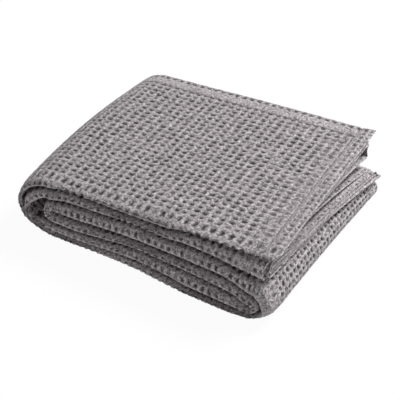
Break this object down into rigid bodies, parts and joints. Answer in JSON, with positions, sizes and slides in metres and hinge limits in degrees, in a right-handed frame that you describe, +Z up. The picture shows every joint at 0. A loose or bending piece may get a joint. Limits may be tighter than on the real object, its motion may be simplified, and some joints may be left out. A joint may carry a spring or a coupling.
{
  "type": "folded throw blanket",
  "caption": "Waffle-weave throw blanket folded into a flat stack, with hemmed ends and an upper flap that turns over to unfold it.",
  "frame": {"origin": "middle of the folded stack's footprint, on the surface it lies on", "axes": "+X towards the hemmed ends, +Y towards the back, +Z up"},
  "size_m": [0.275, 0.212, 0.0795],
  "materials": {
    "waffle_cloth": "matt, brushed waffle weave, heathered warm grey",
    "hem_cloth": "matt, the same cloth turned over and stitched flat",
    "sewing_thread": "matt spun thread"
  },
  "bodies": {
    "stack": {"base_outer_panel": "waffle_cloth", "base_inner_panel": "waffle_cloth", "tucked_lower_panel": "waffle_cloth", "tucked_upper_panel": "waffle_cloth", "right_outer_fold": "waffle_cloth", "right_inner_fold": "waffle_cloth", "left_inner_fold": "waffle_cloth", "left_outer_fold_foot": "waffle_cloth", "left_middle_fold_foot": "waffle_cloth"},
    "outer_fold_lower": {"left_outer_fold_lower": "waffle_cloth"},
    "outer_fold_upper": {"left_outer_fold_upper": "waffle_cloth"},
    "outer_flap": {"left_outer_fold_head": "waffle_cloth", "flap_outer_panel": "waffle_cloth", "flap_outer_hem": "hem_cloth", "flap_outer_hem_thread": "sewing_thread"},
    "inner_fold_lower": {"left_middle_fold_lower": "waffle_cloth"},
    "inner_fold_upper": {"left_middle_fold_upper": "waffle_cloth"},
    "inner_flap": {"left_middle_fold_head": "waffle_cloth", "flap_inner_panel": "waffle_cloth", "flap_inner_hem": "hem_cloth", "flap_inner_hem_thread": "sewing_thread"}
  },
  "joints": [
    {"name": "outer_fold_foot_hinge", "type": "hinge", "parent": "stack", "child": "outer_fold_lower", "pos_m": [-0.11762, 0, 0.00532], "axis": [0, -1, 0], "range_deg": [0, 60], "deforming": ["left_outer_fold_foot", "left_outer_fold_lower"]},
    {"name": "outer_fold_middle_hinge", "type": "hinge", "parent": "outer_fold_lower", "child": "outer_fold_upper", "pos_m": [-0.1375, 0, 0.03975], "axis": [0, -1, 0], "range_deg": [0, 60], "deforming": ["left_outer_fold_upper"]},
    {"name": "top_flap_hinge", "type": "hinge", "parent": "outer_fold_upper", "child": "outer_flap", "pos_m": [-0.11762, 0, 0.07418], "axis": [0, -1, 0], "range_deg": [0, 60], "deforming": ["left_outer_fold_head"]},
    {"name": "inner_fold_foot_hinge", "type": "hinge", "parent": "stack", "child": "inner_fold_lower", "pos_m": [-0.11098, 0, 0.01684], "axis": [0, -1, 0], "range_deg": [0, 60], "deforming": ["left_middle_fold_foot", "left_middle_fold_lower"]},
    {"name": "inner_fold_middle_hinge", "type": "hinge", "parent": "inner_fold_lower", "child": "inner_fold_upper", "pos_m": [-0.1242, 0, 0.03975], "axis": [0, -1, 0], "range_deg": [0, 60], "deforming": ["left_middle_fold_upper"]},
    {"name": "inner_flap_hinge", "type": "hinge", "parent": "inner_fold_upper", "child": "inner_flap", "pos_m": [-0.11098, 0, 0.06266], "axis": [0, -1, 0], "range_deg": [0, 60], "deforming": ["left_middle_fold_head"]}
  ],
  "couplings": [
    {"joint": "outer_fold_foot_hinge", "follows": "top_flap_hinge", "ratio": 1},
    {"joint": "outer_fold_middle_hinge", "follows": "top_flap_hinge", "ratio": 1},
    {"joint": "inner_fold_foot_hinge", "follows": "top_flap_hinge", "ratio": 1},
    {"joint": "inner_fold_middle_hinge", "follows": "top_flap_hinge", "ratio": 1},
    {"joint": "inner_flap_hinge", "follows": "top_flap_hinge", "ratio": 1}
  ]
}
